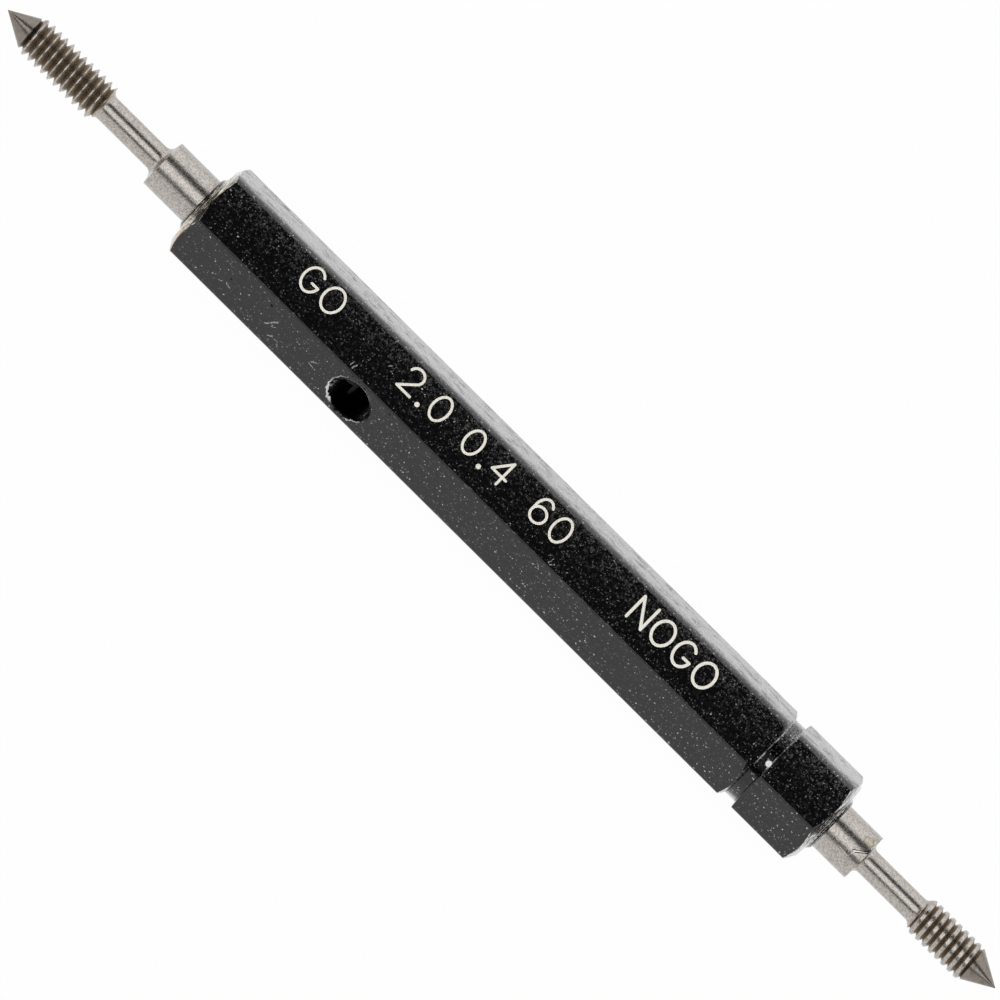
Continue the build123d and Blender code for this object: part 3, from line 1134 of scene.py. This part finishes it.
steel = {
    "colour": (0.538, 0.506, 0.478, 1),
    "streakColour": (0.25, 0.225, 0.195, 1),
    # painted shade: darker colours for the thread's grooves, the point and the shank hidden in the handle
    "grooveColour": (0.37, 0.315, 0.25, 1),
    "pointShadeColour": (0.165, 0.14, 0.115, 1),
    "hiddenShadeColour": (0.003, 0.003, 0.003, 1),
    "stainColours": ((0.4, 0.36, 0.22, 1), (0.12, 0.1, 0.08, 1)),  # inside a stain, and round it
    "lineColours": ((0.85, 0.84, 0.82, 1), (0.06, 0.05, 0.04, 1)),
    "roughness": (0.16, 0.28),
    "moreRoughness": (0.1, -0.07, 0.6),  # in the grooves, on the point and where it is hidden
    "ior": 1.1,  # only the hidden part isn't metal
    "stainWobble": (4.0, 0.08),
    "lineWobble": (5.0, 0.06),
    "streakShares": (0.3, 0.7),  # of the turned streaks and of the grain
    "marks": {"Spacing": 0.03, "Wander": 0.6},
    "marksHeight": 0.0015,
    "grainScale": 11.0,
    "grainHeight": 0.007,
}


def makeSteel(member):
    material, tree, shader = newMaterial(member["name"] + "Steel")
    position = objectPosition(tree)
    parts = splitVector(position)
    radius = radiusOf(position)
    face = handleCentre + member["sign"] * halfLength

    def onCollar(along, turn):
        # turn is in degrees from the top towards +Y
        return around(90 - turn, face + member["sign"] * along, handle["collarRadius"])

    outward = times(minus(parts["X"], face), member["sign"])
    marks = useGroup(turnedGroup, {"Position": position, **steel["marks"]})
    cloud = noise(position, 2.2, 4.0)["Fac"]
    grain = noise(position, steel["grainScale"], 3.0, 0.7)["Fac"]
    turnedShare, grainShare = steel["streakShares"]
    streak = times(marks["Streak"], ramp(cloud, 0.4, 0.7), turnedShare)
    streak = timesPlus(ramp(grain, 0.6, 0.36), grainShare, streak)
    colour = mixColour(streak, steel["colour"], steel["streakColour"])
    for along, turn, size, strength in member["stains"]:
        stain = useGroup(arcGroup, {
            "Position": shaken(position, *steel["stainWobble"]), "Centre": onCollar(along, turn),
            "Radius": size, "Width": 0.05,
        })
        for part, tone in zip(("Inside", "Mask"), steel["stainColours"]):
            colour = mixColour(times(stain[part], strength), colour, tone)
    for along, turn, farAlong, farTurn, width, isDark in member["lines"]:
        line = useGroup(scratchGroup, {
            "Position": shaken(position, *steel["lineWobble"]), "Start": onCollar(along, turn),
            "End": onCollar(farAlong, farTurn), "Width": width,
        })["Mask"]
        colour = mixColour(line, colour, steel["lineColours"][isDark])

    # painted shade: the thread's grooves are painted darker and browner, the point darker, and the shank hidden in
    # the handle black
    threadStart = member["collarLength"] + member["neckLength"]
    past = largest(minus(outward, threadStart + member["threadLength"]), 0.0)
    low = minus(timesPlus(past, -threadForm["pointSlope"], crestRadius(member)), radius)
    groove = times(ramp(low, *member["groove"]), ramp(outward, threadStart + 0.15, threadStart + 0.4))
    pointShade = times(ramp(past, 0.0, 0.12), ramp(cloud, 0.25, 0.5, 1.0, 0.75))
    hiddenShade = ramp(outward, 0.0, -0.1)
    for mask, tone in (groove, "grooveColour"), (pointShade, "pointShadeColour"), (hiddenShade, "hiddenShadeColour"):
        colour = mixColour(mask, colour, steel[tone])
    rough = ramp(marks["Height"], 0.3, 0.7, *steel["roughness"])
    for mask, more in zip((groove, pointShade, hiddenShade), steel["moreRoughness"]):
        rough = timesPlus(mask, more, rough)
    setSockets(shader, {
        "Base Color": colour, "Metallic": minus(1.0, hiddenShade), "Roughness": rough, "IOR": steel["ior"],
    })
    addBump(shader, [(marks["Height"], steel["marksHeight"]), (grain, steel["grainHeight"])])
    return material


for member in (goMember, nogoMember):
    piece = makeMember(member)
    setSlots(piece, [makeSteel(member)], 0)
    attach(piece, "root")
    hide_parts(member["node"])
    print(member["name"], "made:", len(piece.data.polygons), "faces")


studio = {
    "floorSize": 0.6,
    "floorColour": (0.95, 0.95, 0.95, 1),
    "floorGlow": 0.97,
    "bands": [(-58, 0.95), (-52, 0.1), (-39, 0.1), (-31, 1.4), (1, 1.4), (6, 0.05), (31, 0.05), (37, 1.2)],
}


def makeFloor():
    half = studio["floorSize"] / 2
    corners = [(-half, -half, 0), (half, -half, 0), (half, half, 0), (-half, half, 0)]
    mesh = bpy.data.meshes.new("floor")
    mesh.from_pydata(corners, [], [(0, 1, 2, 3)])
    floor = addObject("floor", mesh)
    material = bpy.data.materials.new("paleFloor")
    tree = clearTree(material)
    paper = addNode(tree, "ShaderNodeBsdfDiffuse", {}, {"Color": studio["floorColour"]})
    glow = addNode(tree, "ShaderNodeEmission", {}, {"Color": (1, 1, 1, 1), "Strength": 1.0})
    path = addNode(tree, "ShaderNodeLightPath").outputs
    seen = times(largest(path["Is Camera Ray"], path["Is Glossy Ray"]), studio["floorGlow"])
    blend = addNode(tree, "ShaderNodeMixShader", {}, {0: seen, 1: paper.outputs[0], 2: glow.outputs[0]})
    addNode(tree, "ShaderNodeOutputMaterial", {}, {"Surface": blend.outputs[0]})
    floor.data.materials.append(material)


def makeWorld():
    # long soft panels that run along the gauge, with dark gaps between them
    world = bpy.data.worlds.new("studio")
    bpy.context.scene.world = world
    tree = clearTree(world)
    parts = splitVector(addNode(tree, "ShaderNodeTexCoord").outputs["Generated"])
    share = timesPlus(calc("ARCTAN2", parts["Y"], parts["Z"]), 1 / (2 * math.pi), 0.5)
    bands = addNode(tree, "ShaderNodeValToRGB", {}, {0: share})
    stops = bands.color_ramp.elements
    stops.remove(stops[1])
    brightest = max(level for _, level in studio["bands"])
    for index, (degrees, level) in enumerate(studio["bands"]):
        place = degrees / 360 + 0.5
        stop = stops[0] if index == 0 else stops.new(place)
        stop.position = place
        stop.color = (level / brightest,) * 3 + (1,)
    strength = times(bands.outputs["Color"], brightest)
    camera = addNode(tree, "ShaderNodeLightPath").outputs["Is Camera Ray"]
    level = addNode(tree, "ShaderNodeMix", {"data_type": "FLOAT"}, {0: camera, 2: strength, 3: 1.0})
    sky = addNode(tree, "ShaderNodeBackground", {}, {"Color": (1, 1, 1, 1), "Strength": level.outputs[0]})
    addNode(tree, "ShaderNodeOutputWorld", {}, {"Surface": sky.outputs[0]})


photoView = {
    "elevation": 75,
    "roll": 44.74,  # the gauge falls to the right by this angle
    "width": 45.25,
    "lens": 1200,
    "offsetAlong": -0.023,
    "offsetAcross": -0.08,
}


def makeCamera():
    lift = math.radians(photoView["elevation"])
    roll = math.radians(photoView["roll"])
    along = Vector((1, 0, 0))
    across = Vector((0, math.sin(lift), math.cos(lift)))
    back = along.cross(across)
    right = along * math.cos(roll) + across * math.sin(roll)
    up = across * math.cos(roll) - along * math.sin(roll)
    target = along * photoView["offsetAlong"] + across * photoView["offsetAcross"]
    target += Vector((0, 0, axisHeight))
    data = bpy.data.cameras.new("camera")
    data.lens = photoView["lens"]
    distance = photoView["width"] * data.lens / data.sensor_width
    camera = addObject("camera", data)
    turned = Matrix((right, up, back)).transposed().to_4x4()
    camera.matrix_world = Matrix.Translation((target + back * distance) * mm) @ turned
    data.clip_start = 0.01
    data.clip_end = 10
    bpy.context.scene.camera = camera


makeFloor()
makeWorld()
makeCamera()
bpy.context.scene.view_settings.view_transform = "Standard"
print("studio ready")
